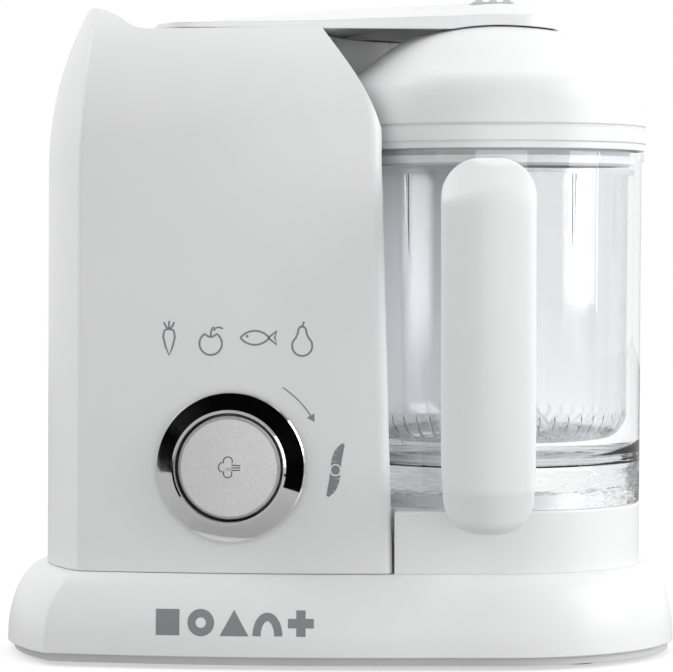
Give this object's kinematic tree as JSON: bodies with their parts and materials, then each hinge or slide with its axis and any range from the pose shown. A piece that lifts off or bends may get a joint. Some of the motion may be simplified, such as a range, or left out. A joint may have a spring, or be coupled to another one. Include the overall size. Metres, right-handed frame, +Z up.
{
  "type": "baby food maker",
  "caption": "White countertop steamer and blender for baby food: tank tower with chrome control knob, clear handled bowl with domed lid, hinged steam arm on top, flared plinth.",
  "frame": {"origin": "centre of the bounding box on the surface the rubber feet stand on", "axes": "+X to the bowl side along the width, +Y to the back, +Z up; the knob and the bowl's handle face -Y"},
  "size_m": [0.2706, 0.2012, 0.2632],
  "materials": {
    "white_casing": "soft satin white",
    "white_inner": "matt white",
    "dark_plastic": "matt black",
    "rubber": "matt",
    "silicone": "translucent white silicone",
    "clear_bowl": "clear moulded plastic, polished",
    "clear_basket": "clear moulded plastic, slightly frosted",
    "chrome_ring": "polished chrome",
    "satin_button": "bead-blasted satin silver",
    "stainless": "brushed",
    "steel": "zinc plated",
    "aluminium": "cast",
    "laminations": "stacked laminations",
    "copper": "copper and brass",
    "carbon": "graphite",
    "circuit_board": "green solder mask",
    "components": "moulded black",
    "wire_sleeve": "white silicone sleeve"
  },
  "bodies": {
    "machine": {"plinth_skirt": "white_casing", "base_plate": "white_inner", "feet": "rubber", "screws": "steel", "jar_seat": "white_casing", "tower_shell": "white_casing", "tower_rear_cover": "white_casing", "top_deck": "white_casing", "hinge_pins": "steel", "water_tank": "stainless", "tank_gasket": "rubber", "tank_clamp": "steel", "heating_element": "aluminium", "thermal_cutouts": "aluminium", "motor_bracket": "steel", "motor_dampers": "rubber", "motor_can": "steel", "motor_stator": "laminations", "carbon_brushes": "carbon", "shaft_bearings": "steel", "drive_belt": "rubber", "spindle_housing": "white_inner", "spindle_seal": "rubber", "knob_spring": "steel", "switch_body": "dark_plastic", "control_board": "circuit_board", "board_parts": "components", "interlock_switch": "dark_plastic", "cord_gland": "dark_plastic", "terminal_block": "dark_plastic", "wiring_harness": "wire_sleeve"},
    "steam_arm": {"arm_cover": "white_casing", "arm_underside": "white_inner", "tank_plug": "rubber", "steam_nozzle": "copper", "latch_spring": "steel"},
    "latch": {"latch_slider": "white_inner"},
    "bowl": {"bowl": "clear_bowl", "blade_bush": "dark_plastic", "steam_basket": "clear_basket", "bowl_handle": "white_casing", "handle_inner_cover": "white_inner"},
    "lid": {"lid_dome": "white_casing", "lid_inner_plate": "white_inner", "lid_seal": "silicone"},
    "blades": {"blade_hub": "white_inner", "blades": "stainless"},
    "rotor": {"motor_shaft": "stainless", "rotor_core": "laminations", "commutator": "copper", "cooling_fan": "dark_plastic", "motor_pulley": "aluminium"},
    "spindle": {"drive_pulley": "aluminium", "drive_shaft": "stainless", "drive_coupling": "stainless"},
    "knob": {"knob_ring": "chrome_ring", "knob_body": "white_inner", "button_spring": "steel"},
    "button": {"button_cap": "satin_button"},
    "interlock": {"interlock_plunger": "dark_plastic"}
  },
  "joints": [
    {"name": "arm_hinge", "type": "hinge", "parent": "machine", "child": "steam_arm", "pos_m": [-0.0715, 0.016, 0.2504], "axis": [0, -1, 0], "range_deg": [0, 80]},
    {"name": "latch_slide", "type": "slide", "parent": "steam_arm", "child": "latch", "axis": [1, 0, 0], "range_m": [0, 0.004], "stiffness_N_per_m": 250, "deforming": ["latch_spring"]},
    {"name": "bowl_turn", "type": "hinge", "parent": "machine", "child": "bowl", "pos_m": [0.0625, 0, 0.0605], "axis": [0, 0, 1], "range_deg": [0, 30]},
    {"name": "lid_turn", "type": "hinge", "parent": "bowl", "child": "lid", "pos_m": [0.0625, 0, 0.2], "axis": [0, 0, 1], "range_deg": [0, 25]},
    {"name": "motor_spin", "type": "hinge", "parent": "machine", "child": "rotor", "pos_m": [-0.058, 0.02, 0.07], "axis": [0, 0, 1], "continuous": true},
    {"name": "spindle_spin", "type": "hinge", "parent": "machine", "child": "spindle", "pos_m": [0.0625, 0, 0.04], "axis": [0, 0, 1], "continuous": true},
    {"name": "blade_spin", "type": "hinge", "parent": "bowl", "child": "blades", "pos_m": [0.0625, 0, 0.08], "axis": [0, 0, 1], "continuous": true},
    {"name": "knob_turn", "type": "hinge", "parent": "machine", "child": "knob", "pos_m": [-0.0423, -0.05694, 0.0777], "axis": [0.109, 0.994, 0], "range_deg": [0, 40], "stiffness_Nm_per_rad": 0.15, "deforming": ["knob_spring"]},
    {"name": "button_press", "type": "slide", "parent": "knob", "child": "button", "axis": [0.109, 0.994, 0], "range_m": [0, 0.002], "stiffness_N_per_m": 600, "deforming": ["button_spring"]},
    {"name": "interlock_press", "type": "slide", "parent": "machine", "child": "interlock", "axis": [0, 0, -1], "range_m": [0, 0.002], "stiffness_N_per_m": 200}
  ],
  "couplings": [
    {"joint": "spindle_spin", "follows": "motor_spin", "ratio": 0.4},
    {"joint": "blade_spin", "follows": "motor_spin", "ratio": 0.4}
  ]
}
